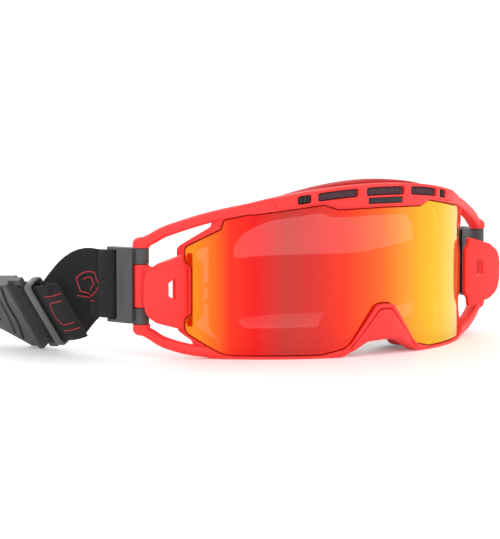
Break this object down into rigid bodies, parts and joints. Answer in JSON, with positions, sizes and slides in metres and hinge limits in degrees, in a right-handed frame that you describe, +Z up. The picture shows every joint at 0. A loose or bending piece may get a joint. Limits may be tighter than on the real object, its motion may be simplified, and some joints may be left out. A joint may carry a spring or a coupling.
{
  "type": "motorcycle goggles",
  "caption": "Riding goggles with a wrapped mirror lens, lens lock levers, swivelling strap clips and a quick-release strap buckle.",
  "frame": {"origin": "middle of the bounding box on the surface the goggles stand on", "axes": "+Z up, the lens faces -Y, +X towards the wearer's left"},
  "size_m": [0.2844, 0.1876, 0.0902],
  "materials": {
    "frame_red": "satin moulded red nylon",
    "black_gloss": "polished",
    "vent_foam": "open-cell filter foam",
    "dark_nylon": "fine moulded texture",
    "mirror_lens": "iridescent mirror coat, orange to yellow",
    "black_rubber": "matte",
    "red_rubber": "soft matte red",
    "face_foam": "closed-cell foam",
    "fleece": "brushed fleece",
    "webbing": "woven elastic with thin red lines",
    "steel": "turned"
  },
  "bodies": {
    "goggles": {"outer_frame": "frame_red", "brow_cover": "frame_red", "nose_bridge": "frame_red", "brow_insert": "black_gloss", "vent_foam_left": "vent_foam", "vent_foam_middle": "vent_foam", "vent_foam_right": "vent_foam", "vent_grille_left": "dark_nylon", "vent_grille_right": "dark_nylon", "lens_gasket": "black_rubber", "face_frame": "red_rubber", "foam_backing": "face_foam", "foam_core": "face_foam", "foam_fleece": "fleece", "pivot_pin_left": "steel", "pivot_pin_right": "steel", "strap_left": "webbing", "strap_right": "webbing", "buckle_socket": "dark_nylon", "buckle_plug": "dark_nylon"},
    "lens_body": {"lens": "mirror_lens"},
    "lock_left": {"lens_lock_left": "frame_red"},
    "lock_right": {"lens_lock_right": "frame_red"},
    "clip_left_body": {"clip_left": "dark_nylon", "strap_sleeve_left": "webbing"},
    "clip_right_body": {"clip_right": "dark_nylon", "strap_sleeve_right": "webbing"},
    "adjuster_left_body": {"adjuster_left": "dark_nylon"},
    "adjuster_right_body": {"adjuster_right": "dark_nylon"},
    "button_upper": {"buckle_button_upper": "dark_nylon"},
    "button_lower": {"buckle_button_lower": "dark_nylon"}
  },
  "joints": [
    {"name": "lens_release", "type": "slide", "parent": "goggles", "child": "lens_body", "axis": [0, -1, 0], "range_m": [0, 0.06]},
    {"name": "lens_lock_left", "type": "hinge", "parent": "goggles", "child": "lock_left", "pos_m": [-0.09384, -0.03243, 0.0374], "axis": [0, 0, -1], "range_deg": [0, 50]},
    {"name": "lens_lock_right", "type": "hinge", "parent": "goggles", "child": "lock_right", "pos_m": [0.12816, -0.03243, 0.0374], "axis": [0, 0, 1], "range_deg": [0, 50]},
    {"name": "clip_swivel_left", "type": "hinge", "parent": "goggles", "child": "clip_left_body", "pos_m": [-0.09384, -0.03243, 0.0374], "axis": [0, 0, 1], "range_deg": [-10, 20]},
    {"name": "clip_swivel_right", "type": "hinge", "parent": "goggles", "child": "clip_right_body", "pos_m": [0.12816, -0.03243, 0.0374], "axis": [0, 0, -1], "range_deg": [-10, 20]},
    {"name": "adjuster_left_slide", "type": "slide", "parent": "goggles", "child": "adjuster_left_body", "axis": [-0.1697, 0.983, -0.0698], "range_m": [-0.001, 0.001]},
    {"name": "adjuster_right_slide", "type": "slide", "parent": "goggles", "child": "adjuster_right_body", "axis": [0, 0.9596, -0.2815], "range_m": [-0.002, 0.002]},
    {"name": "button_upper_press", "type": "slide", "parent": "goggles", "child": "button_upper", "axis": [0.5467, 0.035, -0.8366], "range_m": [0, 0.0017], "stiffness_N_per_m": 300},
    {"name": "button_lower_press", "type": "slide", "parent": "goggles", "child": "button_lower", "axis": [-0.5467, -0.035, 0.8366], "range_m": [0, 0.0017], "stiffness_N_per_m": 300}
  ]
}
